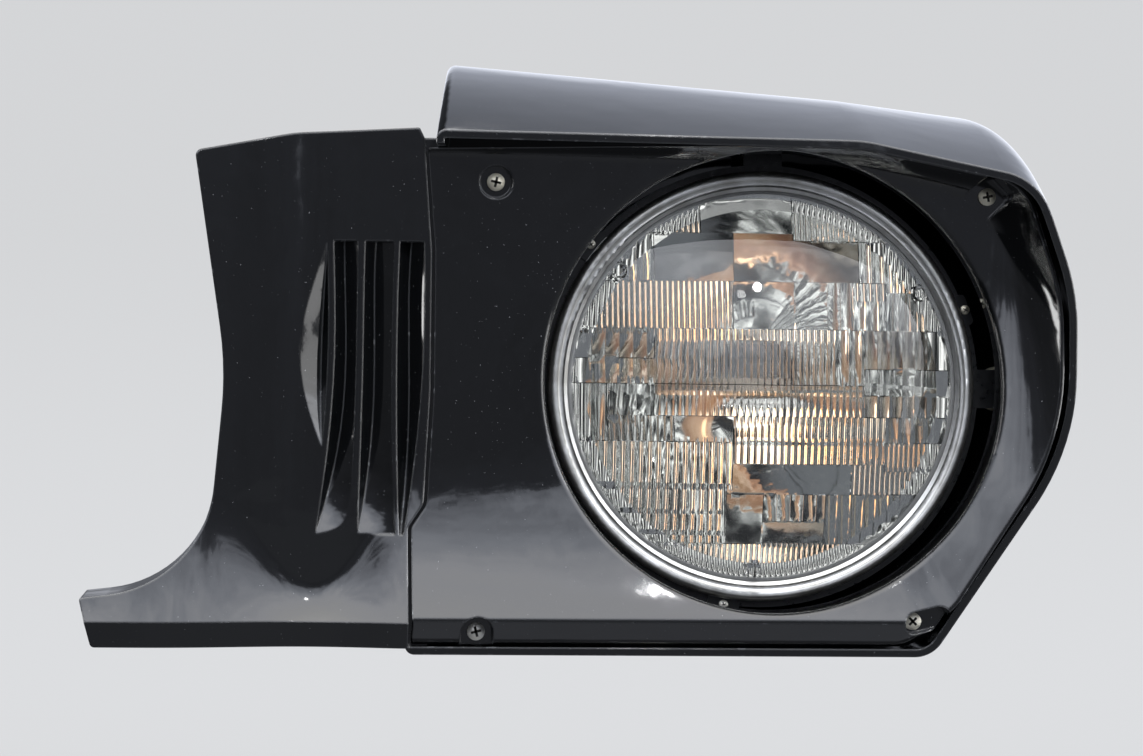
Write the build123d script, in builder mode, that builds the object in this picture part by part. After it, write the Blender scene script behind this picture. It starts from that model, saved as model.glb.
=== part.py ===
import math
import os

from build123d import *

os.makedirs("parts", exist_ok=True)

# Left-hand headlamp assembly of a car: cast housing with its brow and gilled wing, headlamp
# door, seven inch sealed beam lamp on an aiming ring, and the bowl behind it.
# Millimetres. X points outboard, Y back into the car, Z up. The origin is on the lamp's axis,
# in the plane where the housing bolts to the fender, so that what lies ahead has a minus Y.

# Sealed beam lamp
glass_r = 88.5
glass_wall = 3.2
lens_rim_w = 3.5             # flat rim outside the lens's dome
lens_rim_step = 1            # from that rim forward to the dome's edge
lens_bulge = 20
lamp_flange_t = 5
seat_w = 7.5                 # width of the seat under the lamp's rim
focal_length = 21
mirror_back_y = 14.5         # bottom of the mirror
lamp_base_y = 18
lamp_base_r = 22
blade_reach = 12
blade_w = 8
blade_t = 0.9
aiming_boss_r = 3
aiming_boss_rise = 1.5
aiming_boss_angles = (31, 142, 268)
lead_r = 1.2
lead_x = 8
lead_z = 2
bridge_y = -24
bridge_t = 2

# Aiming ring and its three supports
pivot_y = -46                # plane of the aiming axes
ring_plate_y = -54           # front of the ring's plate, where the lamp sits
ring_plate_t = 2
ring_rim_t = 1.5
ring_rim_depth = 3
ear_width = 17
pivot_ball_r = 5
pivot_gap = 0.3
socket_wall = 3.5
adjuster_r = 2.5
adjuster_end_y = -12
adjuster_head_r = 4.2
adjuster_head_t = 2.3
adjuster_head_gap = 0.4
ear_hole_gap = 0.8
nut_bore_r = 6
nut_wall = 2
nut_flange_r = 10
nut_flange_t = 3
nut_tail = 5                 # how far a nut stands out behind the web
nut_hole_gap = 0.2

# Retaining ring
retainer_front_y = -62
retainer_sheet = 1.4
retainer_gap = 0.3           # ahead of the lamp's rim
retainer_lip_gap = 0.5       # round the lens's dome
tab_t = 1.2
tab_w = 14
tab_reach = 2                # how far a tab stands out past the aiming ring
tab_angles = (21, 141, 261)
ring_screw_r = 2
ring_screw_t = 1.6

# Bowl
bowl_flange_w = 9
bowl_sheet = 1.5
bowl_back_y = 40
bowl_taper = 12.5            # from the mouth in to the bend
bowl_back_r = 50
plug_hole_r = 30
bowl_screw_r = 3
bowl_screw_t = 1.8
bowl_screw_hole_r = 1.8
web_hole_gap = 1.2           # round the bowl

# Housing casting
mount_y = 0                  # face that bolts to the fender
lip_y = -112                 # front edge of the brow
brow_foot_y = -86.5          # front edge at the foot of the outboard side
casting_wall = 3.5
web_front_y = -32.5          # upright wall that carries the bowl and the adjusters
web_wall = 3.5
rib_t = 2.5
rib_depth = 15
rib_angles = (17, 66, 114, 247, 291, 343)
fender_bolt_r = 3.3          # tapped for M8
fender_bolt_depth = 22
fender_boss_r = 8

# Headlamp door
door_face_y = -85            # flat inboard face
door_wall = 3
door_lip_y = -100
door_edge_y = -86            # rear of the lower band
door_gap = 1                 # above the housing's foot
door_back_gap = 0.5          # between the door and the flange that it laps
hole_x = 1.5                 # the lamp's hole sits a little up and out from the lamp's axis
hole_z = 2
hole_edge_r = 2.5            # rounding of the hole's front edge
collar_rear_y = -74.5
dish_turn = 32               # slope of the dish where it meets the lip, in degrees
dish_rim = 1.6               # flat round the dish's mouth
screw_shank_r = 2.1
screw_head_r = 3.8
screw_head_t = 2.5
screw_post_r = 6
screw_length = 16
screw_hole_gap = 0.4
screw_tip_gap = 2            # past the screw's end, in the post
thread_gap = 0.15
pocket_floor_t = 3
pocket_boss_wall = 2.5

# Gilled wing
seam_gap = 1.5               # between the wing and the door
seam_lap = 8                 # how far the housing reaches in behind the door
wing_face_y = -85
wing_rear_y = -45
gill_depth = 6
gill_lean = 5.5              # steep side of a gill
ridge_w = 1.8                # between two gills
gill_pan_wall = 2.5

# Sizes that follow from those
lens_face_r = glass_r - lens_rim_w
lamp_seat_y = ring_plate_y
lamp_flange_y = lamp_seat_y - lamp_flange_t
lens_edge_y = lamp_flange_y - lens_rim_step
ring_hole_r = glass_r - seat_w
retainer_r = glass_r + 5.5
ring_plate_r = retainer_r + 3
support_r = ring_plate_r + 13
pivot_reach = support_r * 0.7
bowl_flange_r = support_r - nut_flange_r - 3
bowl_mouth_r = bowl_flange_r - bowl_flange_w
bowl_screw_at = bowl_flange_r - bowl_flange_w / 2
door_hole_r = retainer_r + 4.8
side_x = support_r + 28      # the housing's reach outboard, up and down
head_z = support_r + 20
foot_z = support_r + 6
brow_z = door_hole_r + 5.7
inboard_x = -156
brow_edge = [(lip_y - 0.5, brow_z - 28.5), (-100, 10), (-90, -support_r * 0.64)]
fender_bolt_x = support_r - 35
fender_bolt_z = support_r - 18
door_foot_z = foot_z - casting_wall - door_gap
door_back_y = door_face_y + door_wall
door_lip_z = door_hole_r + 2.2
wing_plate_y = wing_face_y + casting_wall
wing_foot_z = 3 - foot_z
wing_lip_z = wing_foot_z + 11
front_y = lip_y - 10         # clear of everything


def upright(y):
    """The plane at depth y that looks to the front, with X to its right and Z up."""
    return Plane.XZ.offset(-y)


def corners(table):
    return [(x, z) for x, z, r in table]


def radii(table):
    return [r for x, z, r in table]


def grown(table, amount):
    """A corner table with every side moved out by an amount."""
    rows = []
    for i, (x, z, r) in enumerate(table):
        before = Vector(*table[i - 1][:2])
        after = Vector(*table[(i + 1) % len(table)][:2])
        a = (Vector(x, z) - before).normalized()
        b = (after - Vector(x, z)).normalized()
        out = Vector(a.Y + b.Y, -a.X - b.X) / (1 + a.dot(b)) * amount
        turn = 1 if a.cross(b).Z > 0 else -1
        rows.append((x + out.X, z + out.Y, max(r + turn * amount, 0.5)))
    return rows


def between(first, second, share):
    """The corner table part of the way from one table to another."""
    return [tuple(p + (q - p) * share for p, q in zip(a, b)) for a, b in zip(first, second)]


def cap_rise(r, edge_r, bulge):
    """How far a round cap stands above its edge, at a distance r from its axis."""
    ball = (edge_r ** 2 + bulge ** 2) / (2 * bulge)
    return math.sqrt(ball ** 2 - r ** 2) - (ball - bulge)


def through(foot, middle, head, share):
    """A smooth curve through three values, at a share of the way from the first to the last."""
    bend = foot - 2 * middle + head
    return foot + (head - foot - 2 * bend) * share + 2 * bend * share ** 2


def mirror_y(r):
    """Depth of the mirror at a distance r from its axis."""
    return mirror_back_y - r ** 2 / (4 * focal_length)


def on_hole_rim(edge):
    """Whether an edge runs round the front of the door's hole."""
    for p in (edge @ 0, edge @ 0.5, edge @ 1):
        if p.Y > door_back_y or abs(math.hypot(p.X - hole_x, p.Z - hole_z) - door_hole_r) > 0.02:
            return False
    return True


def dish_rings():
    """The dish's sections from its floor to its mouth: share of the depth, share of the width."""
    top = math.radians(dish_turn)
    for i in range(dish_steps + 1):
        a = top * i / dish_steps
        yield (1 - math.cos(a)) / (1 - math.cos(top)), math.sin(a) / math.sin(top)


# Corner tables: x, z, corner radius, anticlockwise seen from the front.
brow_lip = [
    (inboard_x, -foot_z, 4), (side_x - 67, -foot_z, 14), (side_x - 8, -24, 100),
    (side_x - 9, 40, 100), (side_x - 27.5, brow_z - 15, 26), (35, brow_z, 60),
    (inboard_x + 10, brow_z + 1.5, 4),
]
brow_web = [
    (inboard_x, -foot_z, 4), (side_x - 65, -foot_z, 14), (side_x - 1, -22, 105),
    (side_x - 4, 50, 90), (side_x - 25, head_z - 13, 26), (38, head_z - 3, 60),
    (inboard_x + 18, head_z + 9, 4),
]
brow_rear = [
    (inboard_x, -foot_z, 4), (side_x - 64, -foot_z, 14), (side_x, -20, 110), (side_x - 3, 56, 90),
    (side_x - 25, head_z - 8, 26), (38, head_z, 60), (inboard_x + 20, head_z + 13, 4),
]
housing_sections = [(lip_y, brow_lip), (web_front_y, brow_web), (mount_y, brow_rear)]

# The seam between the wing and the door, from the bottom up.
seam = [(-154.4, -62, 5), (-147.8, -52, 8), (-145.4, -5, 60), (-145.4, 56, 10)]
seam_foot_x = -154
seam_head_x = -149

door_side = [
    (side_x - 12.5, -22, 105), (side_x - 13.5, 39, 95), (side_x - 30, brow_z - 15.5, 22),
    (35, brow_z - 1.2, 56),
]
door_left = [(seam_head_x + seam_gap / 2, door_hole_r + 1, 1)]
door_left += [(x + seam_gap / 2, z, r) for x, z, r in reversed(seam)]
door_lip = [(seam_foot_x + seam_gap / 2, -door_lip_z, 1), (side_x - 63.5, -door_lip_z, 24)]
door_lip += door_side + door_left
door_base = [(seam_foot_x + seam_gap / 2, -door_foot_z, 1), (side_x - 70, -door_foot_z, 24)]
door_base += door_side + door_left

# The door's dished front, which runs out past its inboard edge: the edge of its flat floor,
# which rises towards the lamp, and the edge of its mouth.
dish_floor = [
    (-175, -46, 1), (10, 14, 20), (side_x - 43, 50, 1), (side_x - 41.5, 70, 1),
    (side_x - 52, brow_z - 22.5, 6), (33, brow_z - 10.5, 50), (-175, brow_z - 7.5, 1),
]
dish_mouth = [(-175, dish_rim - door_lip_z, 1)] + grown(door_lip, -dish_rim)[1:6]
dish_mouth += [(-175, brow_z - 1.5, 1)]
dish_steps = 4

wing_seam = [(x - seam_gap / 2, z, r) for x, z, r in seam]
wing_crest = [
    (-205, brow_z + 1, 60), (-247, brow_z - 7.5, 3), (-233, 5, 150),
    (-241, wing_foot_z + 27, 50), (-293, wing_foot_z + 21, 1),
]
wing_outline = [(-288, wing_foot_z, 2), (seam_foot_x - seam_gap / 2, wing_foot_z, 1)]
wing_outline += wing_seam
wing_outline += [(seam_head_x - seam_gap / 2, brow_z - 0.5, 1), (-152, brow_z + 4.1, 1)] + wing_crest
wing_box = [(-288, wing_foot_z, 2), (-154, wing_foot_z, 1), (-154, brow_z + 4.1, 1)] + wing_crest

# Upright sections through the wing's face: x, depth of the face, depth of its lip, and how far
# above the lip its foot starts to sweep out.
wing_sections = [
    (-300, -97, -104, 50), (-252, -93, -101, 60), (-228, -88.5, -96, 48),
    (-205, -85.3, -91.5, 20), (-172, -84.6, -95.5, 38), (-139, wing_face_y, -97, 58),
]
wing_band_depth = 7          # from the lip back to the foot
wing_top_z = brow_z + 20
wing_deep_z = -foot_z - 14

# Ridges beside the gills: x at the foot, the middle and the head. The last is the plain edge
# beside the seam.
ridges = [
    (-196.5, -190, -190.5), (-178.5, -177.5, -177), (-160.5, -162.5, -161.8),
    (-157, -150, -149.5),
]
gill_foot_z = -65
gill_head_z = 60
# Share of the height from foot to head, share of the depth, share of the steep side's width
gill_levels = [(0, 0.05, 0.1), (0.12, 0.7, 0.5), (0.3, 1, 0.9), (0.65, 1, 1), (1, 0.9, 1)]
# The leaf-shaped hollow before the first ridge: z, width, depth
leaf_levels = [(-28, 1, 0.4), (-14, 7, 3), (8, 12, 4.6), (36, 9, 3.4), (60, 1, 0.4)]
gill_pan = [(-208, -74, 8)]
gill_pan += [(seam_foot_x - 2, -74, 1)] + [(x - 2, z, r) for x, z, r in seam]
gill_pan += [(-150, 68, 2), (-208, 68, 8)]

# Door screws and their pockets: x, z, depth of the seat under the head, the pocket's length,
# width, corner radius, tilt, and its shift from the screw.
door_screw_places = [
    (-119, brow_z - 18.5, -81, 14, 14, 6.9, 0, 0, 0),
    (side_x - 44.5, brow_z - 21.5, -85, 15, 15, 2.5, 45, 0, 0),
    (-125.5, 10 - foot_z, -85, 14, 22, 6.9, 0, 0, -4),
    (side_x - 75, 15.5 - foot_z, -85, 20, 10, 4.9, 14, 4.5, 1),
]

# Aiming supports: x, z.
top_support = (0, support_r)
side_support = (support_r, 0)
pivot_support = (-pivot_reach, -pivot_reach)


# Space inside the housing's outer skin, used to trim what stands in it.
with BuildPart() as housing_form:
    for y, table in housing_sections:
        with BuildSketch(upright(y)):
            with BuildLine():
                FilletPolyline(*corners(table), radius=radii(table), close=True)
            make_face()
    loft()

with BuildPart() as ribs:
    with BuildSketch(upright(web_front_y + web_wall / 2)):
        for angle in rib_angles:
            with Locations(Location((0, 0, 0), (0, 0, angle))):
                with Locations((bowl_mouth_r + side_x / 2 + bowl_sheet, 0)):
                    Rectangle(side_x, rib_t)
        Circle(bowl_mouth_r + 2 * bowl_sheet, mode=Mode.SUBTRACT)
    extrude(amount=-rib_depth - web_wall / 2)
    add(housing_form.part, mode=Mode.INTERSECT)

# The flange that closes the seam between the wing and the door from behind.
with BuildPart() as seam_flange:
    with BuildSketch(upright(door_back_y + door_back_gap + casting_wall)):
        with BuildLine():
            table = [(inboard_x + 1, -foot_z + 1, 1), (seam_foot_x + seam_lap, -foot_z + 1, 1)]
            table += [(x + seam_lap, z, r) for x, z, r in seam]
            table += [(seam_head_x + seam_lap, brow_z, 1), (inboard_x + 1, brow_z, 1)]
            FilletPolyline(*corners(table), radius=radii(table), close=True)
        make_face()
    extrude(amount=casting_wall)

# Wing: a plate swept forward at its foot and inboard edge, walled round, open behind.
with BuildPart() as wing_front:
    for x, face_y, edge_y, sweep in wing_sections:
        with BuildSketch(Plane.YZ.offset(x)):
            with BuildLine():
                Polyline(
                    (wing_rear_y + 5, wing_top_z), (face_y, wing_top_z), (face_y, wing_lip_z + sweep))
                TangentArc(
                    (face_y, wing_lip_z + sweep), (edge_y, wing_lip_z), tangent=(0, -1))
                Polyline(
                    (edge_y, wing_lip_z), (edge_y + wing_band_depth, wing_foot_z - 0.5),
                    (edge_y + wing_band_depth, wing_deep_z), (wing_rear_y + 5, wing_deep_z),
                    (wing_rear_y + 5, wing_top_z))
            make_face()
    loft()

with BuildPart() as wing_hollow:
    with BuildSketch(upright(wing_plate_y)):
        inner = grown(wing_outline, -casting_wall)
        with BuildLine():
            FilletPolyline(*corners(inner), radius=radii(inner), close=True)
        make_face()
    extrude(amount=wing_plate_y - front_y)
    with BuildSketch(upright(wing_rear_y + 1)):
        inner = grown(wing_box, -casting_wall)
        with BuildLine():
            FilletPolyline(*corners(inner), radius=radii(inner), close=True)
        make_face()
    extrude(amount=wing_rear_y + 1 - wing_plate_y)
    add(wing_front.part.moved(Location((0, casting_wall, 0))), mode=Mode.INTERSECT)
    with BuildSketch(upright(wing_face_y + gill_depth + gill_pan_wall)):
        with BuildLine():
            FilletPolyline(*corners(gill_pan), radius=radii(gill_pan), close=True)
        make_face()
    extrude(amount=gill_depth + gill_pan_wall - wing_face_y - 50, mode=Mode.SUBTRACT)

with BuildPart() as wing:
    with BuildSketch(upright(wing_plate_y)):
        with BuildLine():
            FilletPolyline(*corners(wing_outline), radius=radii(wing_outline), close=True)
        make_face()
    extrude(amount=wing_plate_y - front_y)
    with BuildSketch(upright(wing_rear_y)):
        with BuildLine():
            FilletPolyline(*corners(wing_box), radius=radii(wing_box), close=True)
        make_face()
    extrude(amount=wing_rear_y - wing_plate_y)
    add(wing_front.part, mode=Mode.INTERSECT)
    add(wing_hollow.part, mode=Mode.SUBTRACT)

# Housing: a brow that sweeps back down the outboard side, a ribbed web and the gilled wing.
with BuildPart() as housing:
    add(housing_form.part)
    for y, table in housing_sections:
        inner = grown(table, -casting_wall)
        with BuildSketch(upright(y)):
            with BuildLine():
                FilletPolyline(*corners(inner), radius=radii(inner), close=True)
            make_face()
    loft(mode=Mode.SUBTRACT)
    with BuildSketch(Plane.YZ.offset(-side_x - 60)):
        with BuildLine():
            ThreePointArc(*brow_edge)
            Polyline(
                brow_edge[-1], (brow_foot_y, -foot_z - 5), (front_y, -foot_z - 5),
                (front_y, brow_edge[0][1]), brow_edge[0])
        make_face()
    extrude(amount=2 * side_x + 120, mode=Mode.SUBTRACT)
    with BuildSketch(upright(wing_plate_y)):
        with Locations((inboard_x - 1, casting_wall - foot_z)):
            Rectangle(20, foot_z + door_hole_r - 2, align=(Align.MIN, Align.MIN))
    extrude(amount=wing_plate_y - front_y, mode=Mode.SUBTRACT)
    add(seam_flange.part)
    web = grown(brow_web, -casting_wall / 2)
    with BuildSketch(upright(web_front_y + web_wall)):
        with BuildLine():
            FilletPolyline(*corners(web), radius=radii(web), close=True)
        make_face()
        Circle(bowl_mouth_r + bowl_sheet + web_hole_gap, mode=Mode.SUBTRACT)
    extrude(amount=web_wall)
    add(ribs.part)
    with BuildSketch(upright(web_front_y + web_wall / 2)):
        with GridLocations(2 * fender_bolt_x, 2 * fender_bolt_z, 2, 2):
            Circle(fender_boss_r)
    extrude(amount=web_front_y + web_wall / 2 - mount_y)
    for x, z, seat, length, width, r, tilt, dx, dz in door_screw_places:
        with BuildSketch(upright(web_front_y + web_wall / 2)):
            with Locations((x, z)):
                Circle(screw_post_r)
        extrude(amount=web_front_y + web_wall / 2 - seat - pocket_floor_t)
    add(wing.part)
    for left, right in zip(ridges, ridges[1:]):
        for share, depth, lean in gill_levels:
            x = through(*left, share) + ridge_w
            with BuildSketch(Plane.XY.offset(gill_foot_z + (gill_head_z - gill_foot_z) * share)):
                with BuildLine():
                    Polyline(
                        (x, front_y), (x, wing_face_y),
                        (x + gill_lean * lean, wing_face_y + gill_depth * depth),
                        (through(*right, share), wing_face_y), (through(*right, share), front_y),
                        close=True)
                make_face()
        loft(mode=Mode.SUBTRACT)
    for z, width, depth in leaf_levels:
        x = through(*ridges[0], (z - gill_foot_z) / (gill_head_z - gill_foot_z))
        with BuildSketch(Plane.XY.offset(z)):
            with BuildLine():
                Polyline(
                    (x - width, front_y), (x - width, wing_face_y),
                    (x - width / 4, wing_face_y + depth), (x, wing_face_y), (x, front_y),
                    close=True)
            make_face()
    loft(mode=Mode.SUBTRACT)
    with BuildSketch(upright(mount_y)):
        with GridLocations(2 * fender_bolt_x, 2 * fender_bolt_z, 2, 2):
            Circle(fender_bolt_r)
    extrude(amount=fender_bolt_depth, mode=Mode.SUBTRACT)
    with BuildSketch(upright(web_front_y + web_wall)):
        with Locations(top_support, side_support):
            Circle(nut_bore_r + nut_wall + nut_hole_gap)
    extrude(amount=web_wall, mode=Mode.SUBTRACT)
    for x, z, seat, length, width, r, tilt, dx, dz in door_screw_places:
        with BuildSketch(upright(seat + screw_length + screw_tip_gap)):
            with Locations((x, z)):
                Circle(screw_shank_r + thread_gap)
        extrude(amount=screw_length + screw_tip_gap, mode=Mode.SUBTRACT)
housing.part.label = "housing"
export_step(housing.part, "parts/housing.step")

# Headlamp door: a dished frame with a turned-back lower band and a collar round its hole.
with BuildPart() as door_hollow:
    for y, table in [(door_lip_y + door_wall, door_lip), (door_back_y, door_base)]:
        inner = grown(table, -door_wall)
        with BuildSketch(upright(y)):
            with BuildLine():
                FilletPolyline(*corners(inner), radius=radii(inner), close=True)
            make_face()
    loft(ruled=True)
    for depth_share, width_share in dish_rings():
        y = door_back_y + (door_lip_y - door_face_y) * depth_share
        table = grown(between(dish_floor, dish_mouth, width_share), door_wall)
        with BuildSketch(upright(y)):
            with BuildLine():
                FilletPolyline(*corners(table), radius=radii(table), close=True)
            make_face()
    loft(mode=Mode.SUBTRACT)
    with BuildSketch(upright(door_back_y)):
        with Locations((hole_x, hole_z)):
            Circle(door_hole_r + door_wall)
        for x, z, seat, length, width, r, tilt, dx, dz in door_screw_places:
            wall = 2 * pocket_boss_wall
            with Locations((x + dx, z + dz)):
                RectangleRounded(
                    length + wall, width + wall, r + pocket_boss_wall, rotation=tilt)
    extrude(amount=door_back_y - front_y, mode=Mode.SUBTRACT)

with BuildPart() as headlamp_door:
    for y, table in [(door_lip_y, door_lip), (door_edge_y, door_base)]:
        with BuildSketch(upright(y)):
            with BuildLine():
                FilletPolyline(*corners(table), radius=radii(table), close=True)
            make_face()
    loft(ruled=True)
    with BuildSketch(upright(door_back_y)):
        with BuildLine():
            FilletPolyline(*corners(door_base), radius=radii(door_base), close=True)
        make_face()
    extrude(amount=door_back_y - door_edge_y)
    for depth_share, width_share in dish_rings():
        y = door_face_y + (door_lip_y - door_face_y) * depth_share
        table = between(dish_floor, dish_mouth, width_share)
        with BuildSketch(upright(y)):
            with BuildLine():
                FilletPolyline(*corners(table), radius=radii(table), close=True)
            make_face()
    loft(mode=Mode.SUBTRACT)
    add(door_hollow.part, mode=Mode.SUBTRACT)
    with BuildSketch(upright(collar_rear_y)):
        with Locations((hole_x, hole_z)):
            Circle(door_hole_r + door_wall)
    extrude(amount=collar_rear_y - door_back_y)
    for x, z, seat, length, width, r, tilt, dx, dz in door_screw_places:
        wall = 2 * pocket_boss_wall
        if seat + pocket_floor_t > door_back_y:
            with BuildSketch(upright(seat + pocket_floor_t)):
                with Locations((x + dx, z + dz)):
                    RectangleRounded(
                        length + wall, width + wall, r + pocket_boss_wall, rotation=tilt)
            extrude(amount=seat + pocket_floor_t - door_back_y)
        with BuildSketch(upright(seat)):
            with Locations((x + dx, z + dz)):
                RectangleRounded(length, width, r, rotation=tilt)
        extrude(amount=seat - front_y, mode=Mode.SUBTRACT)
        with BuildSketch(upright(seat + pocket_floor_t)):
            with Locations((x, z)):
                Circle(screw_shank_r + screw_hole_gap)
        extrude(amount=pocket_floor_t, mode=Mode.SUBTRACT)
    with BuildSketch(upright(collar_rear_y)):
        with Locations((hole_x, hole_z)):
            Circle(door_hole_r)
    extrude(amount=collar_rear_y - front_y, mode=Mode.SUBTRACT)
    fillet([edge for edge in headlamp_door.edges() if on_hole_rim(edge)], hole_edge_r)
headlamp_door.part.label = "headlamp_door"
export_step(headlamp_door.part, "parts/headlamp_door.step")

with BuildPart() as door_screws:
    for x, z, seat, length, width, r, tilt, dx, dz in door_screw_places:
        with BuildSketch(upright(seat)):
            with Locations((x, z)):
                Circle(screw_head_r)
        extrude(amount=screw_head_t)
        with BuildSketch(upright(seat + screw_length)):
            with Locations((x, z)):
                Circle(screw_shank_r)
        extrude(amount=screw_length)
door_screws.part.label = "door_screws"
export_step(door_screws.part, "parts/door_screws.step")

# Bowl: a pressed steel cup that closes the housing behind the lamp.
with BuildPart() as lamp_bowl:
    flange_front = web_front_y - bowl_sheet
    bend_r = bowl_mouth_r - bowl_taper
    with BuildSketch(Plane.XY):
        with BuildLine():
            Polyline(
                (bowl_flange_r, flange_front), (bowl_flange_r, web_front_y),
                (bowl_mouth_r + bowl_sheet, web_front_y), (bend_r + bowl_sheet, mount_y),
                (bowl_back_r + bowl_sheet, bowl_back_y), (plug_hole_r, bowl_back_y),
                (plug_hole_r, bowl_back_y - bowl_sheet), (bowl_back_r, bowl_back_y - bowl_sheet),
                (bend_r, mount_y), (bowl_mouth_r, flange_front), (bowl_flange_r, flange_front))
        make_face()
    revolve(axis=Axis.Y)
    with BuildSketch(upright(web_front_y)):
        with PolarLocations(bowl_screw_at, 4):
            Circle(bowl_screw_hole_r)
    extrude(amount=bowl_sheet, mode=Mode.SUBTRACT)
lamp_bowl.part.label = "lamp_bowl"
export_step(lamp_bowl.part, "parts/lamp_bowl.step")

with BuildPart() as bowl_screws:
    with BuildSketch(upright(web_front_y - bowl_sheet)):
        with PolarLocations(bowl_screw_at, 4):
            Circle(bowl_screw_r)
    extrude(amount=bowl_screw_t)
bowl_screws.part.label = "bowl_screws"
export_step(bowl_screws.part, "parts/bowl_screws.step")

# Nylon nuts in the web, bored wide so that the screws can lean as the lamp is aimed.
with BuildPart() as adjuster_nuts:
    with BuildSketch(upright(web_front_y)):
        with Locations(top_support, side_support):
            Circle(nut_flange_r)
    extrude(amount=nut_flange_t)
    with BuildSketch(upright(web_front_y + web_wall + nut_tail)):
        with Locations(top_support, side_support):
            Circle(nut_bore_r + nut_wall)
    extrude(amount=web_wall + nut_tail)
    with BuildSketch(upright(web_front_y + web_wall + nut_tail)):
        with Locations(top_support, side_support):
            Circle(nut_bore_r)
    extrude(amount=web_wall + nut_tail + nut_flange_t, mode=Mode.SUBTRACT)
adjuster_nuts.part.label = "adjuster_nuts"
export_step(adjuster_nuts.part, "parts/adjuster_nuts.step")

with BuildPart() as pivot_socket:
    with BuildSketch(upright(web_front_y)):
        with Locations(pivot_support):
            Circle(pivot_ball_r + socket_wall)
    extrude(amount=web_front_y - pivot_y - socket_wall / 3)
    with Locations((pivot_support[0], pivot_y, pivot_support[1])):
        Sphere(pivot_ball_r + pivot_gap, mode=Mode.SUBTRACT)
pivot_socket.part.label = "pivot_socket"
export_step(pivot_socket.part, "parts/pivot_socket.step")

# The two aiming screws. The top one is a body of its own.
for name, (x, z) in [("top_adjuster_screw", top_support), ("side_adjuster_screw", side_support)]:
    with BuildPart() as adjuster:
        with BuildSketch(upright(ring_plate_y - adjuster_head_gap)):
            with Locations((x, z)):
                Circle(adjuster_head_r)
        extrude(amount=adjuster_head_t)
        with BuildSketch(upright(adjuster_end_y)):
            with Locations((x, z)):
                Circle(adjuster_r)
        extrude(amount=adjuster_end_y - ring_plate_y + adjuster_head_gap)
    adjuster.part.label = name
    export_step(adjuster.part, f"parts/{name}.step")

# Aiming ring: a pressed plate with a turned-back rim and three ears.
with BuildPart() as mounting_ring:
    with BuildSketch(upright(ring_plate_y + ring_plate_t)):
        Circle(ring_plate_r)
        for angle in (0, 90, 225):
            with Locations(Location((0, 0, 0), (0, 0, angle))):
                with Locations(((support_r + ear_width / 2) / 2, 0)):
                    SlotOverall(support_r + ear_width / 2, ear_width)
        Circle(ring_hole_r, mode=Mode.SUBTRACT)
        with Locations(top_support, side_support):
            Circle(adjuster_r + ear_hole_gap, mode=Mode.SUBTRACT)
    extrude(amount=ring_plate_t)
    with BuildSketch(upright(ring_plate_y + ring_plate_t)):
        Circle(ring_hole_r + ring_rim_t)
        Circle(ring_hole_r, mode=Mode.SUBTRACT)
    extrude(amount=-ring_rim_depth)
mounting_ring.part.label = "mounting_ring"
export_step(mounting_ring.part, "parts/mounting_ring.step")

with BuildPart() as pivot_ball:
    with Locations((pivot_support[0], pivot_y, pivot_support[1])):
        Sphere(pivot_ball_r)
    with BuildSketch(upright(pivot_y)):
        with Locations(pivot_support):
            Circle(pivot_ball_r / 2)
    extrude(amount=pivot_y - ring_plate_y - ring_plate_t)
pivot_ball.part.label = "pivot_ball"
export_step(pivot_ball.part, "parts/pivot_ball.step")

# Sealed beam: a pressed glass lens with three aiming bosses, on a silvered glass reflector.
joint_y = lamp_seat_y - lamp_flange_t / 2
with BuildPart() as lens:
    inner_r = lens_face_r - glass_wall
    half_rise = cap_rise(lens_face_r / 2, lens_face_r, lens_bulge)
    inner_rise = cap_rise(inner_r / 2, inner_r, lens_bulge)
    with BuildSketch(Plane.XY):
        with BuildLine():
            ThreePointArc(
                (0, lens_edge_y - lens_bulge), (lens_face_r / 2, lens_edge_y - half_rise),
                (lens_face_r, lens_edge_y))
            Polyline(
                (lens_face_r, lens_edge_y), (lens_face_r + lens_rim_step, lamp_flange_y),
                (glass_r, lamp_flange_y), (glass_r, joint_y), (inner_r, joint_y))
            ThreePointArc(
                (inner_r, joint_y), (inner_r / 2, joint_y - inner_rise),
                (0, joint_y - lens_bulge))
            Line((0, joint_y - lens_bulge), (0, lens_edge_y - lens_bulge))
        make_face()
    revolve(axis=Axis.Y)
    boss_at = lens_face_r - 1.5 * aiming_boss_r
    boss_rise = cap_rise(boss_at, lens_face_r, lens_bulge) + aiming_boss_rise
    with BuildSketch(upright(lens_edge_y)):
        for angle in aiming_boss_angles:
            with Locations(Location((0, 0, 0), (0, 0, angle))):
                with Locations((boss_at, 0)):
                    Circle(aiming_boss_r)
    extrude(amount=boss_rise)
lens.part.label = "lens"
export_step(lens.part, "parts/lens.step")

with BuildPart() as reflector:
    mirror_r = ring_hole_r - glass_wall - 1
    back_r = ring_hole_r - 1
    waist_r = (lamp_base_r + back_r) / 2
    with BuildSketch(Plane.XY):
        with BuildLine():
            Polyline(
                (mirror_r, joint_y), (glass_r, joint_y), (glass_r, lamp_seat_y),
                (back_r, lamp_seat_y))
            ThreePointArc(
                (back_r, lamp_seat_y), (waist_r, mirror_y(waist_r) + 1.6 * glass_wall),
                (lamp_base_r, mirror_y(lamp_base_r) + glass_wall))
            Polyline(
                (lamp_base_r, mirror_y(lamp_base_r) + glass_wall), (lamp_base_r, lamp_base_y),
                (0, lamp_base_y), (0, mirror_back_y))
            Bezier(
                (0, mirror_back_y), (mirror_r / 2, mirror_back_y), (mirror_r, mirror_y(mirror_r)))
            Line((mirror_r, mirror_y(mirror_r)), (mirror_r, joint_y))
        make_face()
    revolve(axis=Axis.Y)
reflector.part.label = "reflector"
export_step(reflector.part, "parts/reflector.step")

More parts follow.
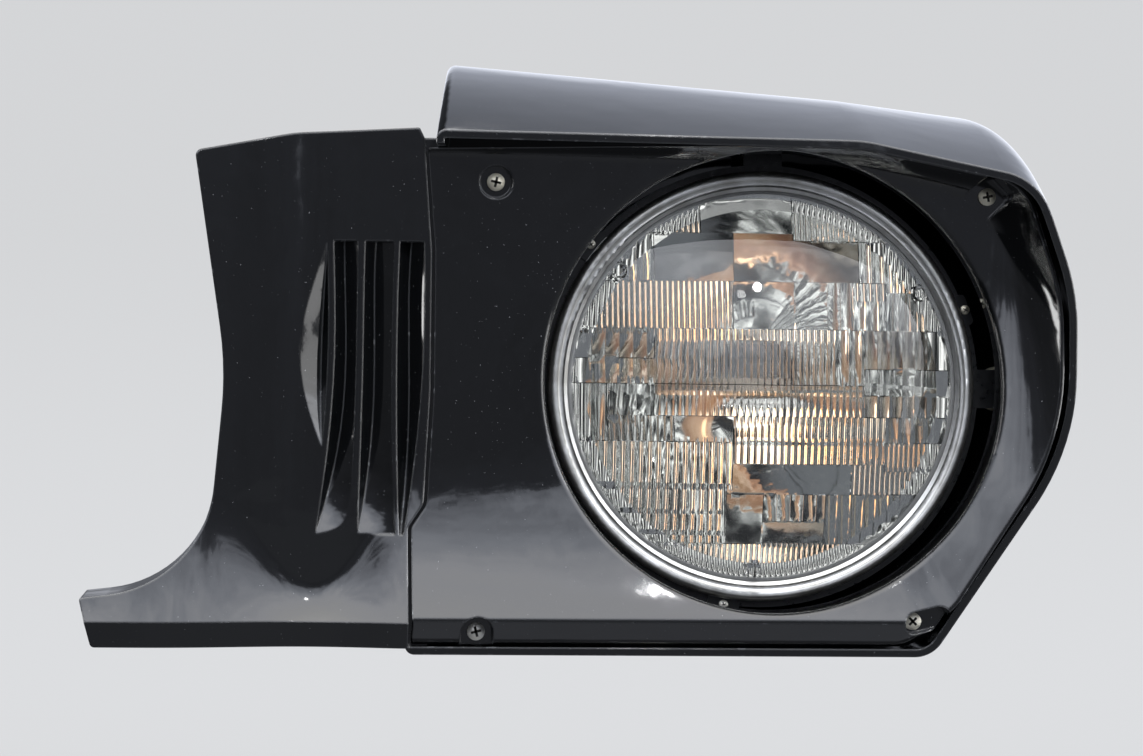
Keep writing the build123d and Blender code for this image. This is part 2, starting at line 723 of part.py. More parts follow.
# Filament mount: two stout leads, a bridge and the shield in front of the filament.
with BuildPart() as filament_mount:
    lead_y = mirror_y(lead_x + 1.5 * lead_r)
    with BuildSketch(upright(lead_y)):
        with Locations((-lead_x, lead_z), (lead_x, lead_z)):
            Circle(lead_r)
    extrude(amount=lead_y - bridge_y)
    with BuildSketch(upright(bridge_y)):
        with Locations((0, lead_z)):
            SlotOverall(3 * lead_x, 4 * lead_r)
    extrude(amount=bridge_t)
filament_mount.part.label = "filament_mount"
export_step(filament_mount.part, "parts/filament_mount.step")

with BuildPart() as terminals:
    with BuildSketch(upright(lamp_base_y + blade_reach)):
        with Locations((-lead_x - 1, -2), (lead_x + 1, -2)):
            Rectangle(blade_t, blade_w)
        with Locations((0, lead_x + 1)):
            Rectangle(blade_w, blade_t)
    extrude(amount=blade_reach)
terminals.part.label = "terminals"
export_step(terminals.part, "parts/terminals.step")

# Retaining ring: a rolled bright ring that clamps the lamp's flange to the aiming ring.
with BuildPart() as retaining_ring:
    skirt_r = retainer_r - retainer_sheet
    lip_r = lens_face_r + retainer_lip_gap
    shelf_y = lamp_flange_y - retainer_gap
    roll_y = (shelf_y + retainer_front_y) / 2
    with BuildSketch(Plane.XY):
        with BuildLine():
            Polyline((skirt_r, lamp_seat_y), (retainer_r, lamp_seat_y), (retainer_r, shelf_y))
            ThreePointArc(
                (retainer_r, shelf_y), (retainer_r - retainer_sheet, roll_y - 1),
                (retainer_r - 4, retainer_front_y))
            ThreePointArc(
                (retainer_r - 4, retainer_front_y), (retainer_r - 6, retainer_front_y + 0.9),
                (lip_r + 1.5, retainer_front_y + 0.4))
            Polyline(
                (lip_r + 1.5, retainer_front_y + 0.4), (lip_r, retainer_front_y + retainer_sheet),
                (lip_r + 0.3, shelf_y - 1.2), (lip_r + 1, shelf_y), (skirt_r, shelf_y),
                (skirt_r, lamp_seat_y))
        make_face()
    revolve(axis=Axis.Y)
    with BuildSketch(upright(ring_plate_y)):
        for angle in tab_angles:
            with Locations(Location((0, 0, 0), (0, 0, angle))):
                with Locations((ring_plate_r - tab_reach, 0)):
                    RectangleRounded(4 * tab_reach, tab_w, tab_reach)
        Circle(skirt_r + retainer_gap, mode=Mode.SUBTRACT)
    extrude(amount=tab_t)
retaining_ring.part.label = "retaining_ring"
export_step(retaining_ring.part, "parts/retaining_ring.step")

with BuildPart() as ring_screws:
    with BuildSketch(upright(ring_plate_y - tab_t)):
        for angle in tab_angles:
            with Locations(Location((0, 0, 0), (0, 0, angle))):
                with Locations((ring_plate_r, 0)):
                    Circle(ring_screw_r)
    extrude(amount=ring_screw_t)
ring_screws.part.label = "ring_screws"
export_step(ring_screws.part, "parts/ring_screws.step")
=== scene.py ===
"""Left-hand headlamp assembly of a black car: its finishes, pressed lens, screws, coil and studio."""

import math

import bmesh
import bpy
from mathutils import Matrix, Vector


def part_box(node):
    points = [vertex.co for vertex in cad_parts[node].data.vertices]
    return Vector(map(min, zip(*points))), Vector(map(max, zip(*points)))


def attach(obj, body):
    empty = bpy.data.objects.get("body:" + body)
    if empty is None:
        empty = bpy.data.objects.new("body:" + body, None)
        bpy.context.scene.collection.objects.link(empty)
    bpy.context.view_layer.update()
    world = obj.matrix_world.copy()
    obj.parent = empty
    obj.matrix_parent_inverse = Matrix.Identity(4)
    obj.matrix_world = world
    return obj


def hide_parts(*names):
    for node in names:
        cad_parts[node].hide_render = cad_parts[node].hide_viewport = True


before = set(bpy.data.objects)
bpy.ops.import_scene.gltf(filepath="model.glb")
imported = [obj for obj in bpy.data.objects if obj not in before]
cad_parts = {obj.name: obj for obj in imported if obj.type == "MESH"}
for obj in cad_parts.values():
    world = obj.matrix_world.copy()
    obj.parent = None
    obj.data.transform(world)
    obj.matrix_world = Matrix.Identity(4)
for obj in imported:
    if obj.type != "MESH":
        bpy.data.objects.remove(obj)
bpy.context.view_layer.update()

MM = 0.001
BLACK = (0.0, 0.0, 0.0, 1.0)
WHITE = (1.0, 1.0, 1.0, 1.0)
SAME_POINT = 1e-7                    # points nearer than this are one
SHARP_DEGREES = 35                   # an edge that bends further than this stays sharp

# The photograph's camera: its place in metres, and how it is turned
PHOTO_WIDTH_PX = 1143
FOCAL_PX = 3430
SENSOR_WIDTH = 36.0                  # millimetres
CAMERA_AT = Vector((-0.2142, -1.5469, 0.0026))
CAMERA_YAW = math.radians(5.02)      # towards the outboard side
CAMERA_ROLL = math.radians(0.7)

# The lamp, read from the CAD nodes
LENS_LOW, LENS_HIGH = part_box("lens")
LENS_FLANGE_R = LENS_HIGH.x
LENS_CROWN_Y = LENS_LOW.y
LENS_BACK_Y = LENS_HIGH.y
MOUNT_LOW, MOUNT_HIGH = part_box("filament_mount")
COIL_BACK = 17.5 * MM                # from the front of the leads' bridge back to the coil
COIL_AT = Vector((0.0, MOUNT_LOW.y + COIL_BACK, (MOUNT_LOW.z + MOUNT_HIGH.z) / 2))
RING_R = 94.0 * MM                   # outside of the bright ring, short of its tabs
GLASS_RIM_R = 83.0 * MM              # where the glass begins to be frosted


def linear(code):
    """An sRGB hex value as linear RGBA."""
    parts = [int(code[i:i + 2], 16) / 255 for i in (1, 3, 5)]
    return (*[c / 12.92 if c <= 0.04045 else ((c + 0.055) / 1.055) ** 2.4 for c in parts], 1.0)


def node(tree, kind, inputs=None, stops=None, **settings):
    """Adds a node. Inputs go by name or number, and each is a value or another node's output.
    A colour ramp's stops are (place, colour) pairs."""
    made = tree.nodes.new(kind)
    for key, value in settings.items():
        setattr(made, key, value)
    for key, value in (inputs or {}).items():
        if isinstance(value, bpy.types.NodeSocket):
            tree.links.new(value, made.inputs[key])
        else:
            made.inputs[key].default_value = value
    if stops:
        band = made.color_ramp.elements
        while len(band) < len(stops):
            band.new(0.5)
        for element, (at, colour) in zip(band, stops):
            element.position = at
            element.color = colour
    return made


def new_material(name):
    """An empty material, its node tree and the coordinates that its patterns read."""
    mat = bpy.data.materials.new(name)
    mat.use_nodes = True
    tree = mat.node_tree
    tree.nodes.clear()
    return mat, tree, node(tree, "ShaderNodeTexCoord").outputs["Object"]


def axis_distance(tree, place):
    """How far a point is from the lamp's axis."""
    flat = node(tree, "ShaderNodeVectorMath", {0: place, 1: (1, 0, 1)}, operation="MULTIPLY")
    away = node(tree, "ShaderNodeVectorMath", {0: flat.outputs["Vector"]}, operation="LENGTH")
    return away.outputs["Value"]


# Enamel: how wide each of its marks is
ORANGE_PEEL = 5 * MM
DUST_SPECK = 0.9 * MM                # coarser than real dust, so that it shows
POLISH_SMEAR = 60 * MM
KNOCK = 6 * MM
PANEL_WAVE = 24 * MM
# how wide the rounded edges are, and the painted highlight and chipping along them
WORN_AND_LIT_EDGE = 1.3 * MM


def gloss_enamel():
    """Black enamel, sprayed and polished: a wet top, faint orange peel, dust, edges chipped, and every edge
    lightened as a painted highlight.
    """
    mat, tree, place = new_material("black_gloss_enamel")
    edge = node(tree, "ShaderNodeBevel", {"Radius": WORN_AND_LIT_EDGE}, samples=5).outputs["Normal"]
    flat = node(tree, "ShaderNodeNewGeometry").outputs["Normal"]
    bend = node(tree, "ShaderNodeVectorMath", {0: edge, 1: flat}, operation="DOT_PRODUCT")
    # The edge mask: where the rounded-edge normal parts from the face's normal
    worn_and_lit_edge = node(tree, "ShaderNodeMapRange", {
        "Value": bend.outputs["Value"], "From Min": 0.93, "From Max": 0.82})
    knocks = node(tree, "ShaderNodeTexNoise", {"Vector": place, "Scale": 1 / KNOCK, "Detail": 3.0})
    # A quarter of the chip colour along every edge is a painted highlight; the full colour, past the noise's
    # threshold, is a real chip
    chipped_or_lit = node(tree, "ShaderNodeValToRGB", {"Fac": knocks.outputs["Fac"]}, stops=[
        (0.62, (0.24, 0.24, 0.24, 1.0)), (0.66, WHITE)])
    chips_and_edge_highlight = node(tree, "ShaderNodeMath", {
        0: chipped_or_lit.outputs["Color"], 1: worn_and_lit_edge.outputs["Result"]}, operation="MULTIPLY")
    dust = node(tree, "ShaderNodeTexNoise", {"Vector": place, "Scale": 1 / DUST_SPECK, "Detail": 1.0})
    specks = node(tree, "ShaderNodeValToRGB", {"Fac": dust.outputs["Fac"]}, stops=[
        (0.77, BLACK), (0.82, WHITE)])
    dusty = node(tree, "ShaderNodeMix", {
        "Factor": specks.outputs["Color"], "A": linear("#060708"), "B": linear("#77787a")}, data_type="RGBA")
    colour = node(tree, "ShaderNodeMix", {
        "Factor": chips_and_edge_highlight.outputs[0], "A": dusty.outputs["Result"], "B": linear("#8b8d90")}, data_type="RGBA")
    film = node(tree, "ShaderNodeTexNoise", {"Vector": place, "Scale": 1 / POLISH_SMEAR, "Detail": 4.0})
    rough = node(tree, "ShaderNodeMapRange", {
        "Value": film.outputs["Fac"], "From Min": 0.35, "From Max": 0.7, "To Min": 0.05, "To Max": 0.12})
    waves = node(tree, "ShaderNodeTexNoise", {"Vector": place, "Scale": 1 / PANEL_WAVE, "Detail": 1.5})
    wavy = node(tree, "ShaderNodeBump", {
        "Height": waves.outputs["Fac"], "Strength": 0.5, "Distance": 0.5 * MM, "Normal": edge})
    peel = node(tree, "ShaderNodeTexNoise", {"Vector": place, "Scale": 1 / ORANGE_PEEL, "Detail": 2.0})
    bump = node(tree, "ShaderNodeBump", {
        "Height": peel.outputs["Fac"], "Strength": 0.05, "Distance": 0.2 * MM,
        "Normal": wavy.outputs["Normal"]})
    shader = node(tree, "ShaderNodeBsdfPrincipled", {
        "Base Color": colour.outputs["Result"], "Roughness": rough.outputs["Result"],
        "IOR": 1.5, "Coat Weight": 1.0, "Coat Roughness": 0.03, "Coat IOR": 1.5,
        "Normal": bump.outputs["Normal"], "Coat Normal": bump.outputs["Normal"]})
    node(tree, "ShaderNodeOutputMaterial", {"Surface": shader.outputs["BSDF"]})
    return mat


# Stainless: how wide its pits and its patches of haze are
STEEL_PIT = 1.5 * MM                 # coarser than real pits, so that they show
STEEL_HAZE = 12 * MM
TAB_PAINT_START = 0.2 * MM           # past the ring's edge


def polished_stainless():
    """Stainless sheet, rolled and buffed, now dulled and pitted. Its tabs were dipped in black paint."""
    mat, tree, place = new_material("rolled_stainless_sheet")
    painted = node(tree, "ShaderNodeMath", {
        0: axis_distance(tree, place), 1: RING_R + TAB_PAINT_START}, operation="GREATER_THAN")
    haze = node(tree, "ShaderNodeTexNoise", {"Vector": place, "Scale": 1 / STEEL_HAZE, "Detail": 5.0})
    colour = node(tree, "ShaderNodeValToRGB", {"Fac": haze.outputs["Fac"]}, stops=[
        (0.35, linear("#bebdb8")), (0.52, linear("#d6d6d2")), (0.68, linear("#e4e4e1"))])
    pits = node(tree, "ShaderNodeTexNoise", {"Vector": place, "Scale": 1 / STEEL_PIT, "Detail": 3.0})
    rough = node(tree, "ShaderNodeMapRange", {
        "Value": pits.outputs["Fac"], "From Min": 0.3, "From Max": 0.75, "To Min": 0.32, "To Max": 0.44})
    bump = node(tree, "ShaderNodeBump", {
        "Height": pits.outputs["Fac"], "Strength": 0.04, "Distance": 0.1 * MM})
    bright = node(tree, "ShaderNodeBsdfPrincipled", {
        "Base Color": colour.outputs["Color"], "Metallic": 1.0, "Roughness": rough.outputs["Result"],
        "Normal": bump.outputs["Normal"]})
    black = node(tree, "ShaderNodeBsdfPrincipled", {
        "Base Color": linear("#0d0e10"), "Roughness": 0.3, "Normal": bump.outputs["Normal"]})
    mix = node(tree, "ShaderNodeMixShader", {
        0: painted.outputs[0], 1: bright.outputs[0], 2: black.outputs[0]})
    node(tree, "ShaderNodeOutputMaterial", {"Surface": mix.outputs[0]})
    return mat


# Glass: its mould's waves, where its rim turns frosted and by how much, and the mirror's waves
MOULD_WAVE = 9 * MM
FROST_WIDTH = 1.0 * MM
FROST_MOST = 0.55
MIRROR_SAG = 30 * MM


def pressed_glass():
    """Clear pressed glass with the mould's faint waves. Its rim is frosted where it was fused on."""
    mat, tree, place = new_material("clear_pressed_glass")
    waves = node(tree, "ShaderNodeTexNoise", {"Vector": place, "Scale": 1 / MOULD_WAVE, "Detail": 1.0})
    bump = node(tree, "ShaderNodeBump", {
        "Height": waves.outputs["Fac"], "Strength": 0.08, "Distance": 0.4 * MM})
    clear = node(tree, "ShaderNodeBsdfPrincipled", {
        "Base Color": linear("#fbfbfa"), "Roughness": 0.0, "IOR": 1.5,
        "Transmission Weight": 1.0, "Normal": bump.outputs["Normal"]})
    frosted = node(tree, "ShaderNodeBsdfPrincipled", {
        "Base Color": linear("#c4c5c3"), "Roughness": 0.35, "Normal": bump.outputs["Normal"]})
    fused = node(tree, "ShaderNodeMapRange", {
        "Value": axis_distance(tree, place), "From Min": GLASS_RIM_R, "From Max": GLASS_RIM_R + FROST_WIDTH,
        "To Min": 0.0, "To Max": FROST_MOST})
    mix = node(tree, "ShaderNodeMixShader", {
        0: fused.outputs["Result"], 1: clear.outputs[0], 2: frosted.outputs[0]})
    node(tree, "ShaderNodeOutputMaterial", {"Surface": mix.outputs[0]})
    return mat


def silvered_glass():
    """Aluminium film on glass, laid down in vacuum: a clean mirror, a little uneven."""
    mat, tree, place = new_material("vacuum_aluminised_glass")
    sag = node(tree, "ShaderNodeTexNoise", {"Vector": place, "Scale": 1 / MIRROR_SAG, "Detail": 1.0})
    bump = node(tree, "ShaderNodeBump", {
        "Height": sag.outputs["Fac"], "Strength": 0.2, "Distance": 1.0 * MM})
    shader = node(tree, "ShaderNodeBsdfPrincipled", {
        "Base Color": linear("#eef0ef"), "Metallic": 1.0, "Roughness": 0.04,
        "Normal": bump.outputs["Normal"]})
    node(tree, "ShaderNodeOutputMaterial", {"Surface": shader.outputs["BSDF"]})
    return mat


# Plain metals and nylon: how wide a patch of tarnish is, and how near a recess's walls are for its painted
# shade
TARNISH_PATCH = 70 * MM
RECESS_SHADE_REACH = 2.5 * MM
SMOOTHEST = 0.7                      # shares of the stated roughness
ROUGHEST = 1.4


def plain_finish(name, colours, roughness, grain_width, metallic=1.0, recess_shade=0.0):
    """A sheet, turned or moulded part whose roughness and tone wander, with painted shade darkening its
    recesses.
    """
    mat, tree, place = new_material(name)
    tarnish = node(tree, "ShaderNodeTexNoise", {"Vector": place, "Scale": 1 / TARNISH_PATCH, "Detail": 1.0})
    tone = node(tree, "ShaderNodeValToRGB", {"Fac": tarnish.outputs["Fac"]}, stops=[
        (0.42, linear(colours[0])), (0.58, linear(colours[1]))])
    # Painted shade: where ambient occlusion finds walls close by, the colour darkens towards #15140f
    air = node(tree, "ShaderNodeAmbientOcclusion", {"Distance": RECESS_SHADE_REACH}, samples=6, only_local=True)
    recess_shade_mask = node(tree, "ShaderNodeMapRange", {
        "Value": air.outputs["AO"], "From Min": 0.85, "From Max": 0.45, "To Min": 0.0, "To Max": recess_shade})
    shaded_tone = node(tree, "ShaderNodeMix", {
        "Factor": recess_shade_mask.outputs["Result"], "A": tone.outputs["Color"], "B": linear("#15140f")},
        data_type="RGBA")
    grain = node(tree, "ShaderNodeTexNoise", {"Vector": place, "Scale": 1 / grain_width, "Detail": 4.0})
    rough = node(tree, "ShaderNodeMapRange", {
        "Value": grain.outputs["Fac"], "From Min": 0.3, "From Max": 0.7,
        "To Min": roughness * SMOOTHEST, "To Max": roughness * ROUGHEST})
    bump = node(tree, "ShaderNodeBump", {
        "Height": grain.outputs["Fac"], "Strength": 0.15, "Distance": 0.1 * MM})
    shader = node(tree, "ShaderNodeBsdfPrincipled", {
        "Base Color": shaded_tone.outputs["Result"], "Metallic": metallic, "Roughness": rough.outputs["Result"],
        "Normal": bump.outputs["Normal"]})
    node(tree, "ShaderNodeOutputMaterial", {"Surface": shader.outputs["BSDF"]})
    return mat


GLOW_PATCH = 4 * MM                    # how wide the wire's brighter and dimmer patches of glow are
FULL_GLOW = 0.4                      # the share of its reach within which a wire glows most


def glowing_wire(name, base, colours, strength, reach):
    """Wire that shines near the lamp's focus, brighter in some places than in others: on the coil the lamp's
    own light, on the leads painted glow.
    """
    mat, tree, place = new_material(name)
    glow_patches = node(tree, "ShaderNodeTexNoise", {"Vector": place, "Scale": 1 / GLOW_PATCH, "Detail": 1.0})
    colour = node(tree, "ShaderNodeValToRGB", {"Fac": glow_patches.outputs["Fac"]}, stops=[
        (0.38, linear(colours[0])), (0.62, linear(colours[1]))])
    away = node(tree, "ShaderNodeVectorMath", {0: place, 1: COIL_AT}, operation="DISTANCE")
    glow = node(tree, "ShaderNodeMapRange", {
        "Value": away.outputs["Value"], "From Min": reach, "From Max": reach * FULL_GLOW,
        "To Min": 0.0, "To Max": strength}, interpolation_type="SMOOTHSTEP")
    shader = node(tree, "ShaderNodeBsdfPrincipled", {
        "Base Color": linear(base), "Metallic": 1.0, "Roughness": 0.22,
        "Emission Color": colour.outputs["Color"], "Emission Strength": glow.outputs["Result"]})
    node(tree, "ShaderNodeOutputMaterial", {"Surface": shader.outputs["BSDF"]})
    return mat


# Each plain finish's grain is drawn wider than the real one, so that it shows
enamel = gloss_enamel()
stainless = polished_stainless()
glass = pressed_glass()
silvered = silvered_glass()
# Only the zinc takes the painted shade in its recesses
zinc = plain_finish("zinc_plated_steel", ("#fafaf8", "#f2ecd8"), 0.5, 1.2 * MM, recess_shade=0.95)
steel = plain_finish("pressed_steel_sheet", ("#7d8084", "#6d6f70"), 0.38, 3.0 * MM)
black_steel = plain_finish("black_dipped_steel", ("#0e0f11", "#121315"), 0.32, 3.0 * MM, metallic=0.0)
nylon = plain_finish("moulded_nylon", ("#d8d3c2", "#cfc8b2"), 0.45, 2.0 * MM, metallic=0.0)
brass = plain_finish("tinned_brass", ("#c9ad6b", "#b79a5c"), 0.30, 1.0 * MM)
# The leads are no lamp: their warm emission is painted glow, standing in for warm glints in the mirror
painted_glow_lead = glowing_wire("nickel_plated_lead_painted_glow", "#e2d8cc", ("#bd6c36", "#f3bb86"), 0.62, 13 * MM)
tungsten = glowing_wire("lit_tungsten_coil", "#d8b48c", ("#ffc78a", "#fff0da"), 2.8, 60 * MM)

NODE_FINISH = {
    "housing": enamel, "headlamp_door": enamel, "door_screws": zinc, "lamp_bowl": steel,
    "bowl_screws": zinc, "adjuster_nuts": nylon, "pivot_socket": nylon, "top_adjuster_screw": zinc,
    "side_adjuster_screw": zinc, "mounting_ring": black_steel, "pivot_ball": zinc, "lens": glass,
    "reflector": silvered, "filament_mount": painted_glow_lead, "terminals": brass,
    "retaining_ring": stainless, "ring_screws": zinc,
}
for name, finish in NODE_FINISH.items():
    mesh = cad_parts[name].data
    mesh.materials.clear()
    mesh.materials.append(finish)


def finished(name, mesh, material):
    """A bmesh as an object at the origin, smooth but for its sharp edges."""
    data = bpy.data.meshes.new(name)
    mesh.to_mesh(data)
    mesh.free()
    data.materials.append(material)
    data.shade_smooth()
    data.set_sharp_from_angle(angle=math.radians(SHARP_DEGREES))
    made = bpy.data.objects.new(name, data)
    bpy.context.scene.collection.objects.link(made)
    return made


# The lens's pressed pattern: each block's left and right x and low and high z, its flutes'
# pitch and radius, and its prism's slope up and across. Millimetres, on the lamp's axis. A
# pitch is a whole number of grid columns, and a flat block is one flute as wide as itself.
LENS_COLUMN = 0.29
FINE = 8 * LENS_COLUMN
MIDDLE = 10 * LENS_COLUMN
COARSE = 13 * LENS_COLUMN
BAR = 20 * LENS_COLUMN
FLAT = 400
EVEN = 1e6                   # the radius of a flat block's flute, too large to show
LENS_BLOCKS = [
    (-86, -28, 66, 86, FINE, 1.9, 0.00, 0.00),
    (-28, 12, 66, 86, FLAT, EVEN, 0.10, 0.03),
    (12, 86, 63, 86, FINE, 1.9, 0.04, 0.00),
    (-86, -67, 45, 66, FINE, 2.2, 0.00, 0.00),
    (-67, -48, 45, 66, BAR, 7.0, -0.04, 0.00),
    (-48, -14, 45, 66, FLAT, EVEN, 0.06, 0.05),
    (-14, 41, 45, 66, FLAT, EVEN, 0.04, -0.04),
    (41, 53, 45, 63, BAR, 6.0, -0.05, 0.00),
    (53, 86, 45, 63, MIDDLE, 2.6, -0.05, 0.00),
    (-86, -14.5, 24.5, 45, FINE, 2.0, 0.05, 0.00),
    (-14.5, 12, 24.5, 45, FLAT, EVEN, 0.03, 0.02),
    (12, 26.5, 24.5, 45, FLAT, EVEN, 0.05, -0.05),
    (26.5, 38, 24.5, 45, BAR, 12.0, 0.02, 0.04),
    (38, 53, 37, 45, MIDDLE, 2.4, 0.00, 0.00),
    (38, 53, 24.5, 37, BAR, 8.0, 0.00, 0.00),
    (53, 67, 24.5, 41, BAR, 9.0, 0.16, 0.05),
    (53, 86, 24.5, 45, MIDDLE, 2.4, 0.04, 0.00),
    (-86, -48, 11.5, 24.5, BAR, 14.0, -0.08, 0.02),
    (-48, 30, 19.7, 24.5, MIDDLE, 2.3, 0.08, 0.00),
    (-48, 30, 11.5, 19.7, MIDDLE, 2.5, -0.05, 0.00),
    (30, 43, 0.6, 24.5, BAR, 7.0, 0.02, 0.00),
    (43, 86, 7.7, 24.5, BAR, 14.0, 0.06, -0.03),
    (-86, -48, 0.6, 11.5, BAR, 11.0, 0.07, -0.02),
    (-48, 30, 0.6, 11.5, MIDDLE, 2.4, 0.04, 0.00),
    (43, 86, -3.6, 7.7, BAR, 12.0, -0.07, 0.02),
    (-86, -67, -24.2, 0.6, BAR, 4.5, 0.00, 0.00),
    (-67, -48, -13, 0.6, BAR, 16.0, -0.09, 0.03),
    (-48, 43, -4.2, 0.6, MIDDLE, 2.4, 0.07, 0.00),
    (-48, 43, -13, -4.2, MIDDLE, 2.4, -0.04, 0.00),
    (43, 86, -13, -3.6, BAR, 9.0, 0.08, 0.00),
    (-67, -39, -24.2, -13, MIDDLE, 6.0, 0.18, 0.06),
    (-39, -14, -24.2, -13, FLAT, EVEN, -0.05, 0.02),
    (-14, 53, -24.2, -13, MIDDLE, 2.4, 0.05, 0.00),
    (53, 86, -24.2, -13, BAR, 10.0, -0.06, 0.04),
    (-86, -14, -42.6, -24.2, COARSE, 2.6, 0.02, 0.00),
    (-14, 53, -33.4, -24.2, MIDDLE, 2.4, -0.04, 0.00),
    (53, 86, -36.5, -24.2, FINE, 1.9, 0.00, 0.00),
    (-14, 38, -46.5, -33.4, FLAT, EVEN, -0.14, 0.03),
    (38, 86, -46.5, -33.4, FINE, 1.9, 0.03, 0.00),
    (-86, -16, -54.8, -42.6, COARSE, 2.6, 0.00, 0.00),
    (-86, -16, -64, -54.8, COARSE, 2.6, 0.02, 0.00),
    (-86, -16, -68.2, -64, COARSE, 2.6, 0.05, 0.00),
    (0, 27, -58.3, -46.5, BAR, 16.0, 0.10, 0.00),
    (-16, 0, -68.2, -46.5, FLAT, EVEN, 0.05, 0.04),
    (27, 86, -68.2, -46.5, BAR, 11.0, -0.05, -0.05),
    (0, 27, -68.2, -58.3, FLAT, EVEN, -0.03, 0.00),
    (-86, 86, -86, -68.2, FINE, 1.8, 0.00, 0.00),
]

# The lens's cap and its mesh, in millimetres and degrees
LENS_FACE_R = 85.0
LENS_WALL = 1.5
LENS_BULGE = 20.0
LENS_INNER_BULGE = 18.0
PATTERN_FADE = 1.5           # how far from its edge the pattern dies away
RIM_STEP = 1.0               # the step down from the face to the flange
RIM_TURN = 3                 # between two points of the rim
BLOCK_STEP = 0.15            # half the width of the step between two rows of blocks
ROW_CLEAR = 3 * BLOCK_STEP   # the least way from such a step to another row
EDGE_CLEAR = 1.0             # the least way from the rim to such a step
COLUMN_CLEAR = 0.5           # the least way from the rim to another column

# The three nubs that an aiming gauge stands on: angle from +X, and their shape
NUB_ANGLES = (31, 142, 268)
NUB_AT = 80.5
NUB_R = 3.2
NUB_RISE = 1.5
NUB_BLUNT = 2.2              # how much steeper than a ball a nub rises, before its flat top
NUB_GRID = 0.8
NUB_STEPS = int(NUB_R / NUB_GRID) + 1
NUBS = [(NUB_AT * math.cos(math.radians(a)), NUB_AT * math.sin(math.radians(a))) for a in NUB_ANGLES]


def cap_rise(r, edge_r, bulge):
    """How far a round cap stands above its edge at a distance r from its axis."""
    ball = (edge_r ** 2 + bulge ** 2) / (2 * bulge)
    return math.sqrt(max(ball ** 2 - r ** 2, 0)) - (ball - bulge)


def pattern(x, z):
    """How far the lens's inner face stands in from its plain cap, in millimetres."""
    for left, right, low, high, pitch, flute_r, rise, lean in LENS_BLOCKS:
        if left <= x < right and low <= z < high:
            across = (x - left) % pitch - min(pitch, right - left) / 2
            flute = (pitch ** 2 / 4 - across ** 2) / (2 * flute_r)
            return flute + rise * (z - (low + high) / 2) + lean * (x - (left + right) / 2)
    return 0.0


def nub(x, z):
    """How far an aiming nub stands out of the lens's dome."""
    for at_x, at_z in NUBS:
        share = math.hypot(x - at_x, z - at_z) / NUB_R
        if share < 1:
            return NUB_RISE * min(1.0, NUB_BLUNT * math.sqrt(1 - share ** 2))
    return 0.0


def nub_lines(axis):
    """The fine grid across the nubs, along x (0) or z (1)."""
    return {round(at[axis] + i * NUB_GRID, 3) for at in NUBS for i in range(-NUB_STEPS, NUB_STEPS + 1)}


def face_columns():
    """The outer face's columns: even round the rim, and fine at a nub."""
    even = {LENS_FACE_R * math.sin(math.radians(a)) for a in range(RIM_TURN - 90, 90, RIM_TURN)}
    clear = {x for x in even if all(abs(x - at[0]) > NUB_R + NUB_GRID for at in NUBS)}
    inside = {x for x in clear | nub_lines(0) if abs(x) < LENS_FACE_R - COLUMN_CLEAR}
    return [-LENS_FACE_R, *sorted(inside), LENS_FACE_R]


def fluted_columns(inner_r):
    """The inner face's columns, close enough to show the flutes."""
    count = int(inner_r / LENS_COLUMN)
    return [-inner_r, *[i * LENS_COLUMN for i in range(-count, count + 1)], inner_r]


def lens_rows(inner_r):
    """Both faces' rows: even round the rim, two at each edge of the blocks, and fine at a nub."""
    even = {round(inner_r * math.sin(math.radians(a)), 3) for a in range(-90, 91, RIM_TURN)}
    edges = {z for block in LENS_BLOCKS for z in block[2:4] if abs(z) < inner_r - EDGE_CLEAR}
    rows = {z for z in even | nub_lines(1)
            if abs(z) <= inner_r and all(abs(z - edge) > ROW_CLEAR for edge in edges)}
    for edge in edges:
        rows |= {edge - BLOCK_STEP, edge + BLOCK_STEP}
    return sorted(rows)


def disc_grid(mesh, rows, radius, columns, depth):
    """A disc of points whose rows end on its rim. Returns each row's points."""
    grid = []
    for z in rows:
        half = math.sqrt(max(radius ** 2 - z ** 2, 0))
        line = []
        for x in columns:
            x = min(max(x, -half), half)
            if line and abs(line[-1].co.x - x * MM) < SAME_POINT:
                line.append(line[-1])
            else:
                line.append(mesh.verts.new((x * MM, depth(x, z) * MM, z * MM)))
        grid.append(line)
    return grid


def skin(mesh, grid, flip):
    """Faces between the rows of a grid, without the empty ones past the rim."""
    for low, high in zip(grid, grid[1:]):
        for i in range(len(low) - 1):
            loop = []
            for vert in (low[i], low[i + 1], high[i + 1], high[i]):
                if vert not in loop:
                    loop.append(vert)
            if len(loop) > 2:
                mesh.faces.new(loop[::-1] if flip else loop)


def rim_loop(grid):
    """A grid's outer points in order, up its right side and down its left."""
    right = [row[-1] for row in grid]
    left = [row[0] for row in grid[::-1]]
    loop = []
    for vert in right + left:
        if vert not in loop:
            loop.append(vert)
    return loop


